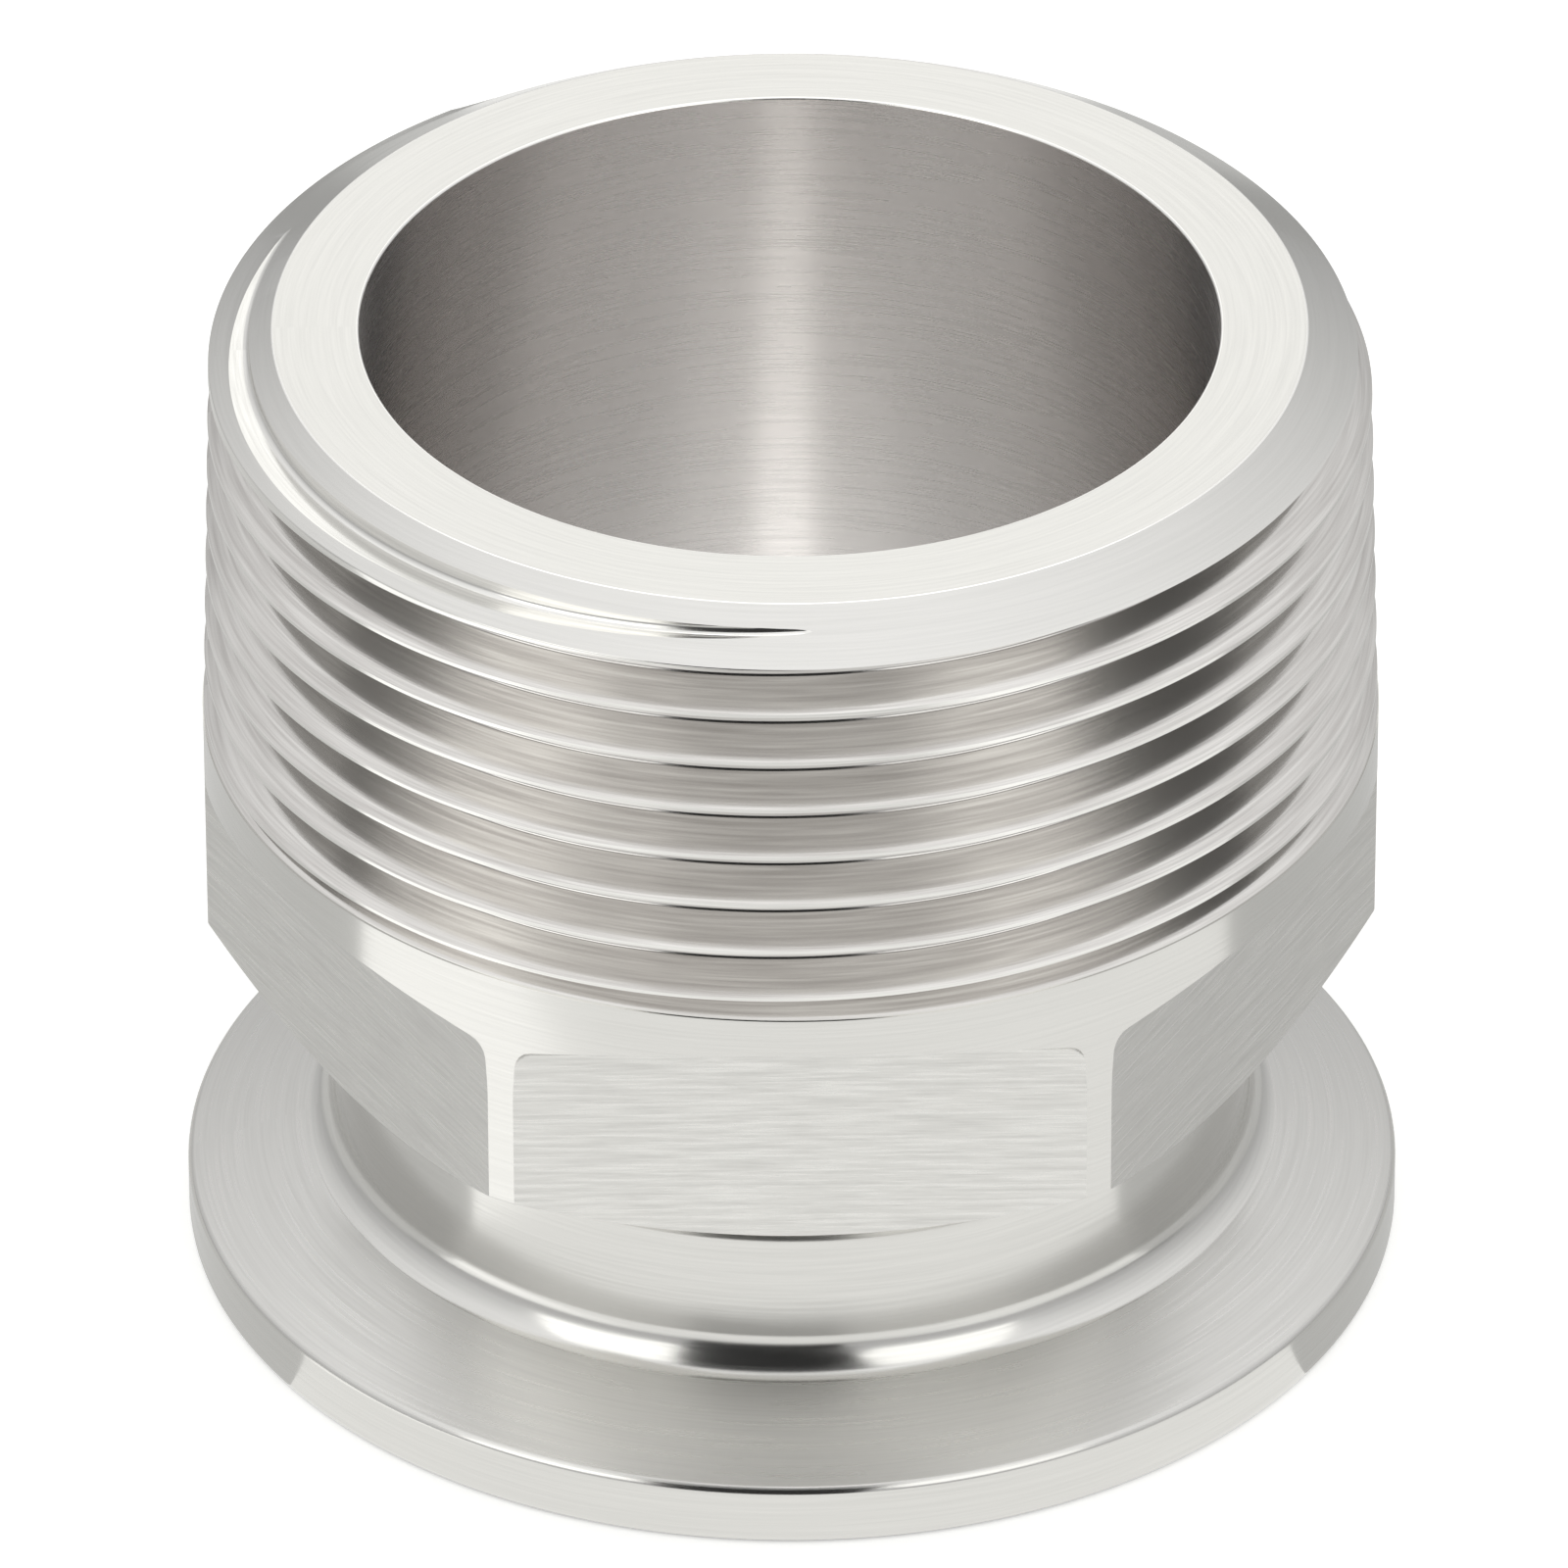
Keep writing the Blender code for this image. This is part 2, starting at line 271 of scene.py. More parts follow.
def milling_block():
    """The block that cuts the flat facing -Y."""
    bottom = under_height
    height = FLAT_TOP - bottom
    middle = bottom + height / 2
    middle_y = -FLAT_DISTANCE - BLOCK_DEPTH / 2
    deselect_all()
    bpy.ops.mesh.primitive_cube_add(size=1, location=(0, 0, 0))
    block = bpy.context.object
    block.name = "milling_block"
    bpy.ops.object.mode_set(mode="EDIT")
    bpy.ops.mesh.select_all(action="SELECT")
    bpy.ops.transform.resize(value=(BLOCK_WIDTH, BLOCK_DEPTH, height))
    bpy.ops.transform.translate(value=(0, middle_y, middle))
    pick(block, "VERT", lambda v: v.co.z > middle and v.co.y < middle_y)
    bpy.ops.transform.translate(value=(0, 0, BLOCK_DEPTH * math.tan(FLAT_WALL_ANGLE)))
    mesh = block.data

    def is_inner_top(edge):
        ends = [mesh.vertices[v].co for v in edge.vertices]
        return all(end.y > -FLAT_DISTANCE - MM and end.z > FLAT_TOP - MM for end in ends)

    def is_upper_side(edge):
        ends = [mesh.vertices[v].co for v in edge.vertices]
        return all(end.z > middle for end in ends) and abs(ends[0].y - ends[1].y) > MM

    pick(block, "EDGE", is_upper_side)
    bpy.ops.mesh.bevel(offset=FLAT_CORNER_RADIUS, offset_type="OFFSET", segments=FLAT_CORNER_FACETS)
    pick(block, "EDGE", is_inner_top)
    opening = math.pi / 2 + FLAT_WALL_ANGLE
    reach = MILL_CORNER_RADIUS / math.tan(opening / 2)
    bpy.ops.mesh.bevel(offset=reach, offset_type="OFFSET", segments=MILL_CORNER_FACETS)
    bpy.ops.mesh.select_all(action="SELECT")
    bpy.ops.mesh.normals_make_consistent(inside=False)
    bpy.ops.object.mode_set(mode="OBJECT")
    return block


def turned_copy(piece, angle):
    """A copy with its own mesh, turned about the Z axis."""
    copy = piece.copy()
    copy.data = piece.data.copy()
    bpy.context.scene.collection.objects.link(copy)
    select_only(copy)
    copy.rotation_euler.z = angle
    bpy.ops.object.transform_apply(location=True, rotation=True, scale=True)
    return copy


def take_away(piece, cutter):
    """Cut one closed shape out of another, with the exact solver, and drop the cutter."""
    apply_modifier(piece, "BOOLEAN", object=cutter, operation="DIFFERENCE", solver="EXACT",
                   material_mode="TRANSFER")
    bpy.data.objects.remove(cutter)


# %% [markdown]
# The thread tool is a 60 degree point with a slightly blunt nose. Its groove is swept by a Screw
# modifier, one pitch to the turn and right-handed, and then given the pipe thread's taper. A cone
# stops the groove where the real tool climbs out, so it fades just above the collar.

# %% The thread tool's sweep
CREST_FLAT = 0.15 * MM
ROOT_FLAT = 0.30 * MM
ROOT_CORNER_RADIUS = 0.14 * MM
ROOT_CORNER_FACETS = 4
FLANK_ANGLE = math.radians(30)
FIRST_GROOVE_DEPTH = 0.28 * MM
TURNS_BELOW_COLLAR = 1
# In turns: how far before the first groove's place at -Y the tool stops, and how long it climbs out
THREAD_END_BACK = 0.39
THREAD_FADE = 0.12
RUNOUT_LAND = 0.08 * MM
STOP_OVERHANG = 4 * MM
STOP_SKIRT = 8 * MM
FACING_DOWN = -0.9


def turns_below_first_groove():
    """Whole turns between the groove under the mouth at -Y and the sweep's start."""
    return math.ceil((LENGTH - FIRST_GROOVE_DEPTH - COLLAR_TOP) / THREAD_PITCH + TURNS_BELOW_COLLAR)


def thread_sweep():
    """The helical bar that cuts the thread's groove. It starts at -Y, below the run-out."""
    slope = math.tan(FLANK_ANGLE)
    depth = (THREAD_PITCH - CREST_FLAT - ROOT_FLAT) / 2 / slope
    root = CREST_RADIUS_AT_MOUTH - depth
    half_mouth = (THREAD_PITCH - CREST_FLAT / 2) / 2
    outer = root + (half_mouth - ROOT_FLAT / 2) / slope
    corners = [(root, -ROOT_FLAT / 2), (root, ROOT_FLAT / 2), (outer, half_mouth), (outer, -half_mouth)]
    tool = extrude_outline("thread_sweep", corners)
    for number in (0, 1):
        round_corner(tool, corners, number, ROOT_CORNER_RADIUS, ROOT_CORNER_FACETS)
    bpy.ops.mesh.select_all(action="SELECT")
    bpy.ops.mesh.delete(type="ONLY_FACE")
    bpy.ops.object.mode_set(mode="OBJECT")
    ring = len(tool.data.vertices)
    turns = turns_below_first_groove() - THREAD_END_BACK
    steps = round(SIDES * turns)
    apply_modifier(tool, "SCREW", axis="Z", angle=2 * math.pi * turns, screw_offset=THREAD_PITCH * turns,
                   iterations=1, steps=steps, render_steps=steps, use_merge_vertices=False)
    # The screw lays its copies down one after another, so a vertex's number gives its step.
    fade_steps = round(SIDES * THREAD_FADE)
    for vertex in tool.data.vertices:
        past = vertex.index // ring - (steps - fade_steps)
        if past > 0:
            retreat = depth * (past / fade_steps) ** 2
            out = vertex.co.xy.normalized()
            vertex.co.x += out.x * retreat
            vertex.co.y += out.y * retreat
    select_only(tool)
    bpy.ops.object.mode_set(mode="EDIT")
    bpy.ops.mesh.select_mode(type="EDGE")
    bpy.ops.mesh.select_all(action="DESELECT")
    bpy.ops.mesh.select_non_manifold()
    bpy.ops.mesh.edge_face_add()
    bpy.ops.mesh.select_all(action="SELECT")
    bpy.ops.mesh.normals_make_consistent(inside=False)
    bpy.ops.object.mode_set(mode="OBJECT")
    return tool


def taper_and_place(tool):
    """Give the sweep the pipe thread's taper about the mouth, and turn it to its place."""
    # The first groove stands just under the mouth at -Y; the sweep starts whole turns below it.
    below = turns_below_first_groove()
    select_only(tool)
    tool.rotation_euler.z = math.radians(-90)
    tool.location.z = -below * THREAD_PITCH - FIRST_GROOVE_DEPTH
    bpy.ops.object.transform_apply(location=True, rotation=True, scale=True)
    # The Taper deform scales about the origin, so it is used while the mouth lies at height 0.
    slope_per_radius = THREAD_TAPER / 2 / CREST_RADIUS_AT_MOUTH
    apply_modifier(tool, "SIMPLE_DEFORM", deform_method="TAPER", deform_axis="Z",
                   factor=-slope_per_radius * tool.dimensions.z)
    tool.location.z = LENGTH
    bpy.ops.object.transform_apply(location=True, rotation=True, scale=True)


def stop_at_collar(tool):
    """Cut the sweep back with a cone, so that the groove climbs out above the collar."""
    end = COLLAR_TOP + RUNOUT_LAND
    end_radius = crest_radius(end)
    slope = math.tan(FLANK_ANGLE)
    wide = end_radius + STOP_OVERHANG
    narrow = BORE_RADIUS
    low = end - (wide - end_radius) * slope
    high = end + (end_radius - narrow) * slope
    deselect_all()
    bpy.ops.mesh.primitive_cone_add(vertices=SIDES, radius1=wide, radius2=narrow, depth=high - low,
                                    location=(0, 0, (low + high) / 2))
    stop = bpy.context.object
    bpy.ops.object.transform_apply(location=True, rotation=True, scale=True)
    select_only(stop)
    bpy.ops.object.mode_set(mode="EDIT")
    pick(stop, "FACE", lambda face: face.normal.z < FACING_DOWN)
    bpy.ops.mesh.extrude_region_move(TRANSFORM_OT_translate={"value": (0, 0, -STOP_SKIRT)})
    bpy.ops.object.mode_set(mode="OBJECT")
    take_away(tool, stop)


# %% [markdown]
# Where the thread begins, its first turn shows in the chamfer as a shallow rounded channel that
# starts from nothing at the front, is widest at the left and runs out again. A turned ring that is
# tilted a little cuts just that: it dips into the chamfer on one side and passes over it elsewhere.

# %% The channel where the thread starts
CHANNEL_RADIUS = 21.93 * MM
CHANNEL_DEPTH = 1.33 * MM
CHANNEL_NOSE = 0.28 * MM
CHANNEL_NOSE_FACETS = 6
CHANNEL_RING_WIDTH = 3 * MM
CHANNEL_RING_HEIGHT = 4 * MM
CHANNEL_FLOOR_RISE = math.radians(7)
CHANNEL_TILT = math.radians(3.54)
CHANNEL_AZIMUTH = math.radians(-56)


def start_channel():
    """The tilted ring that cuts the channel; its lowest point lies at the channel's azimuth."""
    outer = CHANNEL_RADIUS + CHANNEL_RING_WIDTH
    rise = CHANNEL_RING_WIDTH * math.tan(CHANNEL_FLOOR_RISE)
    corners = [(CHANNEL_RADIUS, 0), (outer, rise), (outer, CHANNEL_RING_HEIGHT),
               (CHANNEL_RADIUS, CHANNEL_RING_HEIGHT)]
    ring = extrude_outline("start_channel", corners)
    round_corner(ring, corners, 0, CHANNEL_NOSE, CHANNEL_NOSE_FACETS)
    spin_outline(ring)
    select_only(ring)
    # Tilt down towards -Y, turn that side to its azimuth, and lower the ring to its depth.
    ring.rotation_euler = (CHANNEL_TILT, 0, CHANNEL_AZIMUTH)
    ring.location.z = LENGTH - CHANNEL_DEPTH + CHANNEL_RADIUS * math.sin(CHANNEL_TILT)
    bpy.ops.object.transform_apply(location=True, rotation=True, scale=True)
    return ring


# %% [markdown]
# Stainless steel 1.4301 is a warm, light grey metal. What the eye reads is the tool that made each
# surface: the lathe leaves fine rings round the axis, the milling cutter leaves straight streaks
# along the flats, and the thread tool leaves coarser marks on the flanks. The bore and the
# ferrule's back are a little more matt, the crests are painted lighter as a painted highlight, and
# the sharp edges at the mouth are polished by handling and painted lighter as a painted highlight.
# So there are separate finishes of the same metal. Each cutter brings its own finish with it, and
# the blank's faces are told apart by their place.

# %% Colours and nodes
def linear(hex_colour):
    """A colour written as sRGB hex, as the linear values that a shader takes."""
    channels = [int(hex_colour[place:place + 2], 16) / 255 for place in (1, 3, 5)]
    return [c / 12.92 if c <= 0.04045 else ((c + 0.055) / 1.055) ** 2.4 for c in channels] + [1.0]


def add_node(tree, kind, settings=None, **links):
    """Add a node, set its properties, and set or link its inputs, by name or by number as in _0."""
    node = tree.nodes.new(kind)
    for name, value in (settings or {}).items():
        setattr(node, name, value)
    for name, value in links.items():
        place = int(name[1:]) if name[0] == "_" else name.replace("_", " ")
        socket = node.inputs[place]
        if isinstance(value, bpy.types.NodeSocket):
            tree.links.new(value, socket)
        else:
            socket.default_value = value
    return node


# %% Stainless steel finishes
STEEL_COLOUR = "#D7D6D3"
# The mouth's edges are painted lighter than the steel: a painted highlight.
PAINTED_EDGE_HIGHLIGHT_COLOUR = "#F4F3F0"
# A noise pattern lies round one half, and between these values it runs over the whole range
PATTERN_LOW = 0.3
PATTERN_HIGH = 0.7
RELIEF_STRENGTH = 0.5
ACROSS_THE_RINGS = 0.25
# Milled streaks for each millimetre of height and for each radian round the axis
STREAK_DENSITY = 5


def new_metal(name, colour, roughness, anisotropy, turn):
    """A metal with its constants on the shader, and its node tree ready for a pattern."""
    material = bpy.data.materials.new(name)
    material.use_nodes = True
    tree = material.node_tree
    shader = tree.nodes["Principled BSDF"]
    shader.inputs["Base Color"].default_value = linear(colour)
    shader.inputs["Metallic"].default_value = 1.0
    shader.inputs["Roughness"].default_value = roughness
    shader.inputs["Anisotropic"].default_value = anisotropy
    shader.inputs["Anisotropic Rotation"].default_value = turn
    return material, tree, shader


def follow_the_rings(tree, shader):
    """Turn the metal's highlights to the rings round the axis."""
    tangent = add_node(tree, "ShaderNodeTangent", {"direction_type": "RADIAL", "axis": "Z"})
    tree.links.new(tangent.outputs["Tangent"], shader.inputs["Tangent"])


def section_place(tree):
    """Radius and height of a shaded point in millimetres, and its angle round the axis."""
    place = add_node(tree, "ShaderNodeTexCoord").outputs["Object"]
    in_mm = add_node(tree, "ShaderNodeVectorMath", {"operation": "SCALE"}, _0=place, Scale=1 / MM)
    parts = add_node(tree, "ShaderNodeSeparateXYZ", Vector=in_mm.outputs[0]).outputs
    square = add_node(tree, "ShaderNodeMath", {"operation": "MULTIPLY"}, _0=parts["X"], _1=parts["X"])
    both = add_node(tree, "ShaderNodeMath", {"operation": "MULTIPLY_ADD"}, _0=parts["Y"], _1=parts["Y"],
                    _2=square.outputs[0])
    radius = add_node(tree, "ShaderNodeMath", {"operation": "SQRT"}, _0=both.outputs[0]).outputs[0]
    angle = add_node(tree, "ShaderNodeMath", {"operation": "ARCTAN2"}, _0=parts["Y"], _1=parts["X"])
    return radius, parts["Z"], angle.outputs[0]


def ring_pattern(tree, rings_per_mm, break_up):
    """Fine rings round the axis, slightly broken along their length."""
    radius, height, angle = section_place(tree)
    along = add_node(tree, "ShaderNodeMath", {"operation": "MULTIPLY"}, _0=angle, _1=break_up)
    place = add_node(tree, "ShaderNodeCombineXYZ", X=radius, Y=height, Z=along.outputs[0])
    stretch = add_node(tree, "ShaderNodeVectorMath", {"operation": "MULTIPLY"}, _0=place.outputs[0],
                       _1=(rings_per_mm, rings_per_mm, 1))
    noise = add_node(tree, "ShaderNodeTexNoise", {"noise_dimensions": "3D"}, Vector=stretch.outputs[0],
                     Scale=1.0, Detail=2.0, Roughness=0.6)
    return noise.outputs["Fac"]


def spread(tree, pattern, at_low, at_high):
    """A value that runs from one end to the other with the pattern."""
    return add_node(tree, "ShaderNodeMapRange", Value=pattern, _1=PATTERN_LOW, _2=PATTERN_HIGH,
                    _3=at_low, _4=at_high).outputs["Result"]


def tool_marks(tree, shader, pattern, depth, colours, roughness):
    """Use a pattern as shallow relief, as streaks of two close colours and as a change of roughness."""
    bump = add_node(tree, "ShaderNodeBump", Strength=RELIEF_STRENGTH, Distance=depth, Height=pattern)
    tree.links.new(bump.outputs["Normal"], shader.inputs["Normal"])
    streaks = add_node(tree, "ShaderNodeMix", {"data_type": "RGBA"}, _0=spread(tree, pattern, 0.0, 1.0),
                       _6=linear(colours[0]), _7=linear(colours[1]))
    tree.links.new(streaks.outputs[2], shader.inputs["Base Color"])
    tree.links.new(spread(tree, pattern, roughness[1], roughness[0]), shader.inputs["Roughness"])


def turned_steel(name, rings_per_mm, breaks, depth, colours, roughness, anisotropy):
    """A lathe finish: rings round the axis that spread highlights across themselves."""
    material, tree, shader = new_metal(name, STEEL_COLOUR, roughness[0], anisotropy, ACROSS_THE_RINGS)
    follow_the_rings(tree, shader)
    tool_marks(tree, shader, ring_pattern(tree, rings_per_mm, breaks), depth, colours, roughness)
    return material


def burnished_edges_with_painted_highlight():
    """Edges that the tool and handling have polished, and painted lighter as a painted highlight: they
    show as thin bright lines.
    """
    material, tree, shader = new_metal("burnished_stainless_edge_painted_highlight", PAINTED_EDGE_HIGHLIGHT_COLOUR, roughness=0.22,
                                       anisotropy=0.0, turn=0.0)
    pattern = ring_pattern(tree, rings_per_mm=9, break_up=12)
    tree.links.new(spread(tree, pattern, at_low=0.18, at_high=0.3), shader.inputs["Roughness"])
    return material


def milled_steel():
    """Milled flats: straight streaks across the axis, and a duller sheen than the lathe's."""
    material, tree, shader = new_metal("milled_stainless", STEEL_COLOUR, roughness=0.3,
                                       anisotropy=0.3, turn=ACROSS_THE_RINGS)
    follow_the_rings(tree, shader)
    height, angle = section_place(tree)[1:]
    place = add_node(tree, "ShaderNodeCombineXYZ", X=angle, Y=height, Z=0.0)
    stretch = add_node(tree, "ShaderNodeVectorMath", {"operation": "MULTIPLY"}, _0=place.outputs[0],
                       _1=(STREAK_DENSITY, STREAK_DENSITY, 1))
    noise = add_node(tree, "ShaderNodeTexNoise", {"noise_dimensions": "2D"}, Vector=stretch.outputs[0],
                     Scale=1.0, Detail=5.0, Roughness=0.7)
    tool_marks(tree, shader, noise.outputs["Fac"], depth=0.018 * MM, colours=("#D0CFCC", "#E2E1DE"),
               roughness=(0.24, 0.36))
    return material


fine_turned = turned_steel("finely_turned_stainless", rings_per_mm=7, breaks=3, depth=0.0015 * MM,
                           colours=("#D5D4D1", "#DAD9D6"), roughness=(0.14, 0.2), anisotropy=0.4)
bore_turned = turned_steel("bored_stainless", rings_per_mm=6, breaks=4, depth=0.001 * MM,
                           colours=("#D4D1CF", "#DCD9D7"), roughness=(0.24, 0.29), anisotropy=0.95)
cone_turned = turned_steel("satin_turned_stainless", rings_per_mm=7, breaks=3, depth=0.002 * MM,
                           colours=("#D3D2CF", "#DBDAD7"), roughness=(0.26, 0.34), anisotropy=0.5)
thread_turned = turned_steel("threaded_stainless", rings_per_mm=6, breaks=3, depth=0.004 * MM,
                             colours=("#C6C3C0", "#E2E0DD"), roughness=(0.12, 0.18), anisotropy=0.3)
# The crests' colours are lighter than the steel's: a painted highlight on the crest lines.
crest_turned_painted_highlight = turned_steel("turned_stainless_crests_painted_highlight", rings_per_mm=8, breaks=3, depth=0.001 * MM,
                            colours=("#DDDCD9", "#EEEDEA"), roughness=(0.14, 0.2), anisotropy=0.4)
burnished_edge_and_painted_highlight = burnished_edges_with_painted_highlight()
flat_milled = milled_steel()


def give_material(piece, material):
    """Make a material the piece's only one."""
    piece.data.materials.clear()
    piece.data.materials.append(material)


def slot_of(piece, material):
    """Number of a material's slot on a piece."""
    return piece.data.materials.find(material.name)


def face_place(face):
    """Radius and height of the middle of a face."""
    return math.hypot(face.center.x, face.center.y), face.center.z


# %% Give the blank its finishes
BORE_TOLERANCE = 0.002 * MM
MOUTH_BAND = 0.2 * MM
MOUTH_EDGE_REACH = 0.05 * MM
CONE_INNER_RADIUS = NECK_RADIUS + 1.5 * MM

give_material(body, fine_turned)
for finish in (bore_turned, burnished_edge_and_painted_highlight, cone_turned):
    body.data.materials.append(finish)
for face in body.data.polygons:
    radius, height = face_place(face)
    at_mouth = height > LENGTH - MOUTH_BAND
    at_bore_edge = radius < BORE_RADIUS + BORE_EDGE_BREAK
    at_outer_edge = abs(radius - MOUTH_RADIUS) < MOUTH_EDGE_REACH
    if radius < BORE_RADIUS + BORE_TOLERANCE:
        face.material_index = slot_of(body, bore_turned)
    elif RIM_HEIGHT < height < back_height and radius > CONE_INNER_RADIUS:
        face.material_index = slot_of(body, cone_turned)
    # The edges at the mouth take the lighter colour of a painted highlight.
    elif at_mouth and (at_bore_edge or at_outer_edge):
        face.material_index = slot_of(body, burnished_edge_and_painted_highlight)

# %% Cut the flats, the thread and its channel
block = milling_block()
give_material(block, flat_milled)
blocks = [turned_copy(block, 2 * math.pi * number / FLAT_COUNT) for number in range(FLAT_COUNT)]
bpy.data.objects.remove(block)

sweep = thread_sweep()
give_material(sweep, thread_turned)
taper_and_place(sweep)
stop_at_collar(sweep)
channel = start_channel()
# The channel's faces take the crests' lighter colours, so they carry the same painted highlight.
give_material(channel, crest_turned_painted_highlight)

for cutter in blocks + [sweep, channel]:
    take_away(body, cutter)

# %% Give the crests their finish and painted highlight
CREST_BAND_START = COLLAR_TOP + 0.1 * MM
CREST_TOLERANCE = 0.02 * MM

# The channel's cut has brought the crests' material, and its painted highlight, with it
painted_crest_highlight_slot = slot_of(body, crest_turned_painted_highlight)
for face in body.data.polygons:
    radius, height = face_place(face)
    on_thread = CREST_BAND_START < height < LENGTH - LEDGE_DEPTH
    if on_thread and radius > crest_radius(height) - CREST_TOLERANCE:
        face.material_index = painted_crest_highlight_slot
print("cut body:", len(body.data.polygons), "faces,", [m.name for m in body.data.materials])

# %% Smooth the round surfaces and keep the edges
# The wide faces set the normals, so that a narrow rounding doesn't tilt the shading of the bore.
SMOOTH_ANGLE = math.radians(18)
WIDE_FACE_WEIGHT = 100

select_only(body)
bpy.ops.object.shade_smooth_by_angle(angle=SMOOTH_ANGLE)
apply_modifier(body, "WEIGHTED_NORMAL", mode="FACE_AREA", weight=WIDE_FACE_WEIGHT, keep_sharp=True)

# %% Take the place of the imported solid
body.name = "steel_adapter"
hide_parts(BODY_NODE)
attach(body, "root")

# %% [markdown]
# The fitting stands on white paper in soft light. Metal shows its surroundings more than its own
# colour, so the room matters: a tent that is brightest overhead, a window and a strip of light behind,
# two softboxes in front, and a dark card on the camera's side. Cards of several tones lie on the
# paper and give the flanks their shading. A bright stripe lies under the bore, and the bore's wall
# draws it out to the upright band of light inside. The cards show only in reflections.

# %% Floor and tent
FLOOR_SIZE = 6.0
PAPER_COLOUR = "#F4F4F2"
WHITE_LIGHT = (1, 1, 1, 1)
CAMERA_GLOW = 0.35
METAL_GLOW = 0.05
HORIZON_LIGHT = 0.5
OVERHEAD_LIGHT = 1.18


def bare_material(name):
    """A material with an empty node tree."""
    material = bpy.data.materials.new(name)
    material.use_nodes = True
    material.node_tree.nodes.clear()
    return material, material.node_tree


def backdrop_material():
    """White paper that glows a little, so that it keeps a soft shadow but looks white to the camera."""
    material, tree = bare_material("white_paper")
    paper = add_node(tree, "ShaderNodeBsdfDiffuse", Color=linear(PAPER_COLOUR))
    ray = add_node(tree, "ShaderNodeLightPath").outputs
    in_metal = add_node(tree, "ShaderNodeMath", {"operation": "MULTIPLY"}, _0=ray["Is Glossy Ray"],
                        _1=METAL_GLOW)
    glow = add_node(tree, "ShaderNodeMath", {"operation": "MULTIPLY_ADD"}, _0=ray["Is Camera Ray"],
                    _1=CAMERA_GLOW, _2=in_metal.outputs[0])
    light = add_node(tree, "ShaderNodeEmission", Color=WHITE_LIGHT, Strength=glow.outputs[0])
    both = add_node(tree, "ShaderNodeAddShader", _0=paper.outputs[0], _1=light.outputs[0])
    add_node(tree, "ShaderNodeOutputMaterial", Surface=both.outputs[0])
    return material


def tent_world():
    """A white tent that is brightest overhead and falls off towards the horizon."""
    world = bpy.data.worlds.new("white_tent")
    world.use_nodes = True
    tree = world.node_tree
    tree.nodes.clear()
    # In a world the object coordinates are the direction that is looked in.
    looking = add_node(tree, "ShaderNodeTexCoord").outputs["Object"]
    height = add_node(tree, "ShaderNodeSeparateXYZ", Vector=looking).outputs["Z"]
    tent = add_node(tree, "ShaderNodeMapRange", Value=height, _1=0.0, _2=1.0, _3=HORIZON_LIGHT,
                    _4=OVERHEAD_LIGHT)
    ray = add_node(tree, "ShaderNodeLightPath").outputs
    strength = add_node(tree, "ShaderNodeMix", {"data_type": "FLOAT"}, _0=ray["Is Camera Ray"],
                        _2=tent.outputs["Result"], _3=1.0)
    light = add_node(tree, "ShaderNodeBackground", Color=WHITE_LIGHT, Strength=strength.outputs[0])
    add_node(tree, "ShaderNodeOutputWorld", Surface=light.outputs[0])
    bpy.context.scene.world = world


deselect_all()
bpy.ops.mesh.primitive_plane_add(size=FLOOR_SIZE, location=(0, 0, 0))
floor = bpy.context.object
floor.name = "paper_floor"
give_material(floor, backdrop_material())
tent_world()

# %% Cards that the metal reflects
DARK_COLOUR = "#202020"
CARD_LIFT = 0.05 * MM


def direction(azimuth, elevation):
    """Unit vector that points away from the object; at azimuth 0 to the front, at 90 to the right."""
    a = math.radians(azimuth)
    e = math.radians(elevation)
    return math.sin(a) * math.cos(e), -math.cos(a) * math.cos(e), math.sin(e)


def card(name, colour, strength, centre, width, height, azimuth, elevation):
    """A flat card of even brightness that faces the object and shows only in its reflections."""
    deselect_all()
    bpy.ops.mesh.primitive_plane_add(size=1, location=centre)
    board = bpy.context.object
    board.name = name
    board.scale = (width, height, 1)
    board.rotation_euler = (math.radians(90 - elevation), 0, math.radians(azimuth))
    bpy.ops.object.transform_apply(location=True, rotation=True, scale=True)
    material, tree = bare_material(name + "_paint")
    light = add_node(tree, "ShaderNodeEmission", Color=linear(colour), Strength=strength)
    add_node(tree, "ShaderNodeOutputMaterial", Surface=light.outputs[0])
    give_material(board, material)
    board.visible_camera = False
    board.visible_diffuse = False
    board.visible_shadow = False


def standing_card(name, colour, strength, azimuth, elevation, distance, width, height):
    """A card some way off that turns its face to the middle of the fitting."""
    x, y, z = direction(azimuth, elevation)
    centre = (x * distance, y * distance, LENGTH / 2 + z * distance)
    card(name, colour, strength, centre, width, height, azimuth, elevation)


def lying_card(name, strength, left, right, front, back, level):
    """A card on the floor between four edges in millimetres; a higher level lies on a lower one."""
    centre = ((left + right) / 2 * MM, (front + back) / 2 * MM, level * CARD_LIFT)
    card(name, PAPER_COLOUR, strength, centre, (right - left) * MM, (back - front) * MM, 0, 90)


# Each call: name, colour, strength, azimuth and elevation in degrees, distance, width and height
standing_card("camera_side", DARK_COLOUR, 1.0, -6.5, 28, 350 * MM, 235 * MM, 540 * MM)
standing_card("window_behind", PAPER_COLOUR, 1.37, 180, 38, 600 * MM, 160 * MM, 300 * MM)
standing_card("strip_above", PAPER_COLOUR, 2.2, 180, 64, 600 * MM, 410 * MM, 110 * MM)
standing_card("left_softbox", PAPER_COLOUR, 1.9, -44, 36, 400 * MM, 240 * MM, 300 * MM)
standing_card("right_softbox", PAPER_COLOUR, 1.7, 34, 36, 400 * MM, 240 * MM, 300 * MM)
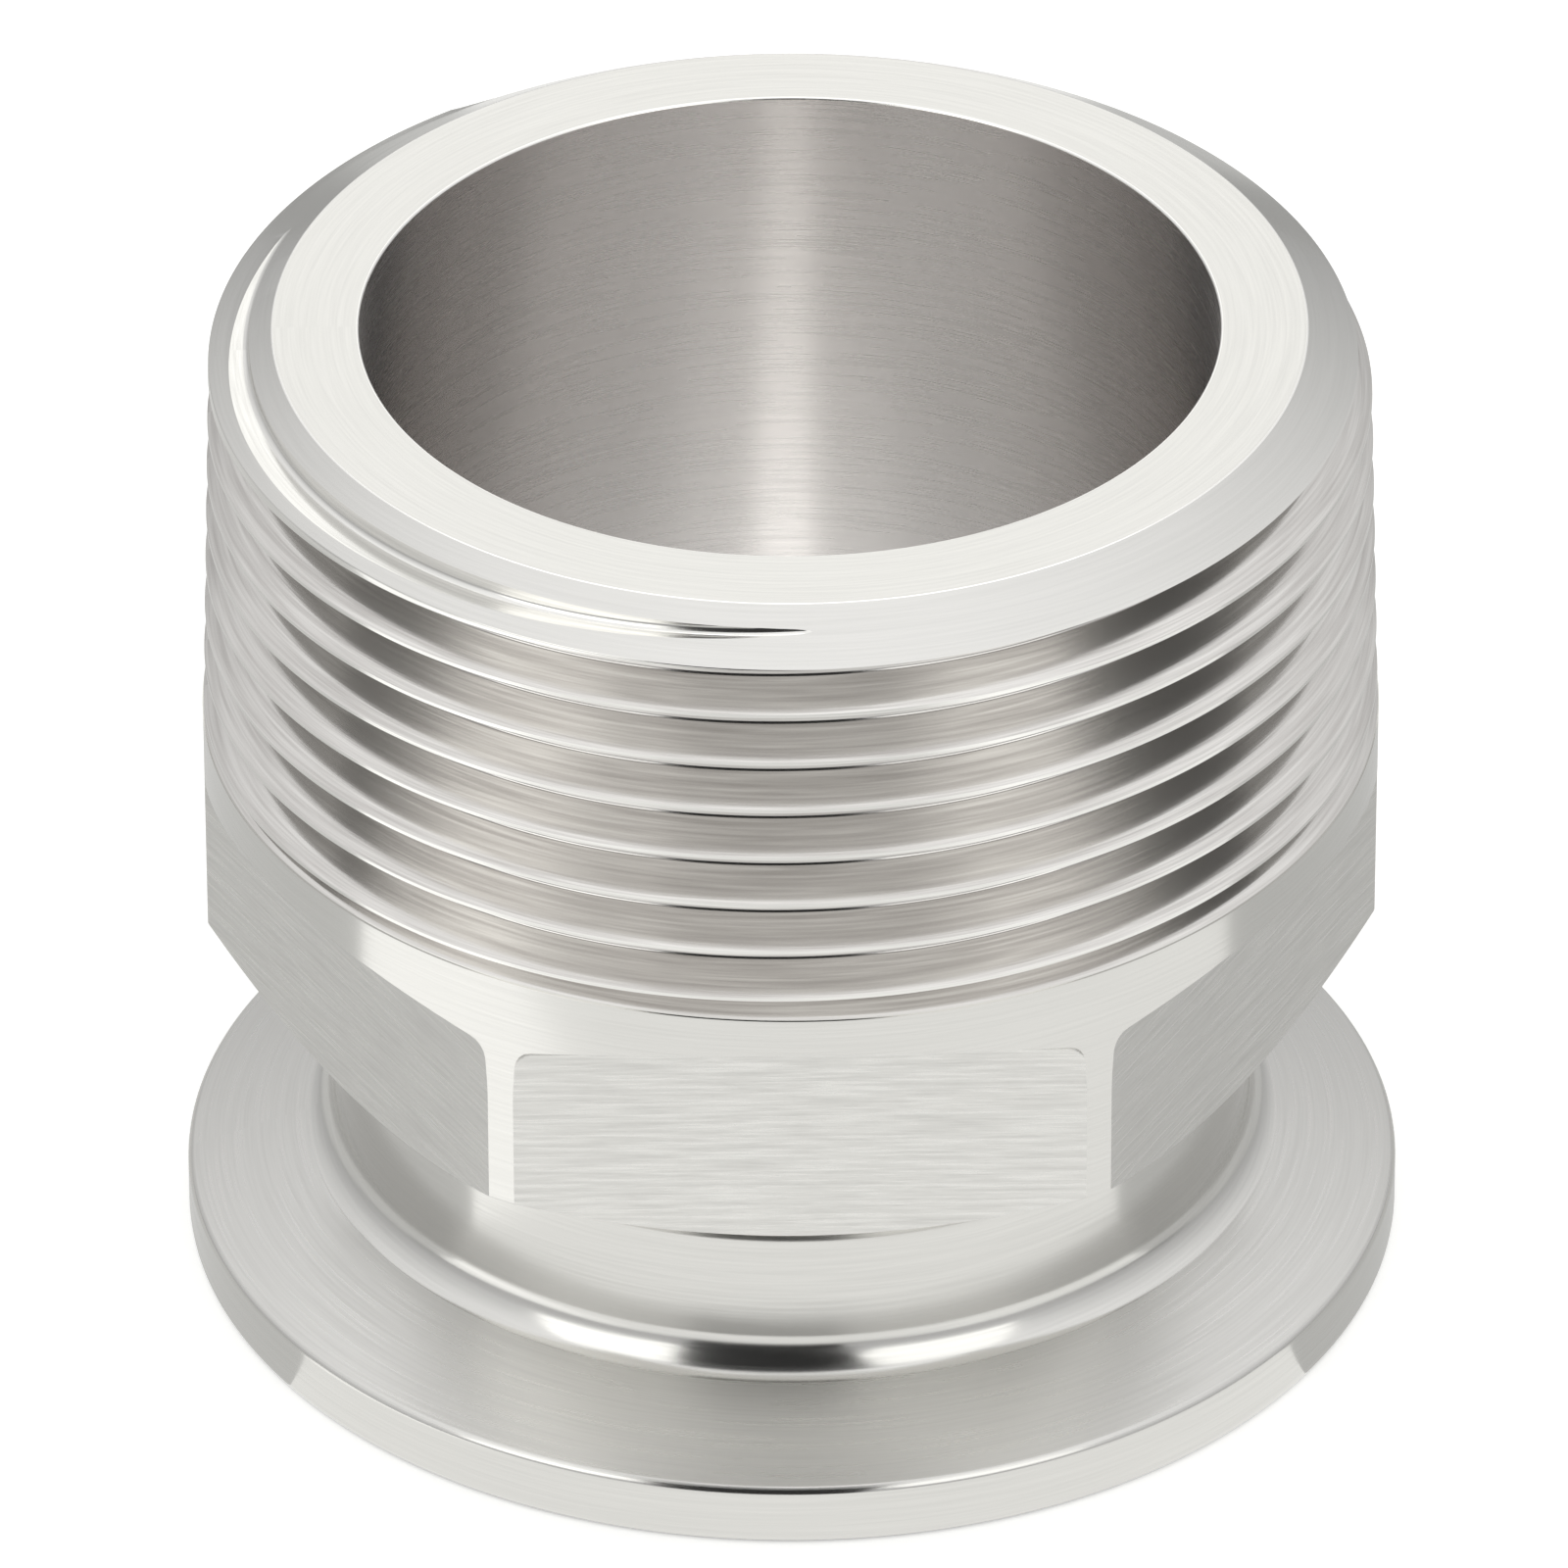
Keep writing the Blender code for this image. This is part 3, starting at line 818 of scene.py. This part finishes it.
# Each call: name, strength, left, right, front and back edge, level
lying_card("far_floor", 0.45, -2500, 2500, -2500, 2500, 1)
lying_card("middle_floor", 0.7, -210, 210, -210, 230, 2)
lying_card("near_floor", 1.14, -125, 125, -135, 150, 3)
lying_card("left_behind", 0.74, -150, -21, -14, 160, 4)
lying_card("right_behind", 0.68, 21, 150, -14, 160, 4)
lying_card("front_grey", 0.9, -36, 36, -140, -78, 4)
lying_card("left_bright", 1.45, -125, -25, -44, -14, 4)
lying_card("left_front_bright", 1.65, -125, -64, -115, -44, 4)
lying_card("right_front_bright", 1.45, 46, 92, -112, -64, 4)
lying_card("left_dark", 0.25, -280, -140, -90, 14, 5)
lying_card("right_dark", 0.12, 104, 300, -95, 14, 5)
lying_card("bore_floor", 0.55, -17, 17, -17, 17, 6)
lying_card("bore_middle", 1.0, -11, 11, -17, 17, 7)
lying_card("bore_stripe", 2.1, -2.2, 3.0, -17, 17, 8)

# %% Camera
IMAGE_PIXELS = 1600
SENSOR_WIDTH = 36
FOCAL_PIXELS = 18251
CAMERA_DISTANCE = 737.3 * MM
# The three angles are in degrees
CAMERA_ELEVATION = 33.51
CAMERA_AZIMUTH = -0.88
CAMERA_ROLL = -0.158
TARGET_ACROSS = -0.285 * MM
TARGET_HEIGHT = 20.41 * MM
CLIP_START = 0.05
CLIP_END = 20


def place_camera():
    """The camera looks down at the fitting from a long way off, so its ellipses stay nearly parallel."""
    lens = bpy.data.cameras.new("long_lens")
    lens.sensor_width = SENSOR_WIDTH
    lens.lens = FOCAL_PIXELS * SENSOR_WIDTH / IMAGE_PIXELS
    lens.clip_start = CLIP_START
    lens.clip_end = CLIP_END
    camera = bpy.data.objects.new("camera", lens)
    bpy.context.scene.collection.objects.link(camera)
    azimuth = math.radians(CAMERA_AZIMUTH)
    tilt = math.pi / 2 - math.radians(CAMERA_ELEVATION)
    target = (math.cos(azimuth) * TARGET_ACROSS, math.sin(azimuth) * TARGET_ACROSS, TARGET_HEIGHT)
    away = direction(CAMERA_AZIMUTH, CAMERA_ELEVATION)
    camera.location = [t + CAMERA_DISTANCE * a for t, a in zip(target, away)]
    turn = Matrix.Rotation(azimuth, 3, "Z") @ Matrix.Rotation(tilt, 3, "X")
    camera.rotation_euler = (turn @ Matrix.Rotation(math.radians(CAMERA_ROLL), 3, "Z")).to_euler()
    bpy.context.scene.camera = camera


place_camera()
bpy.context.scene.view_settings.view_transform = "Standard"
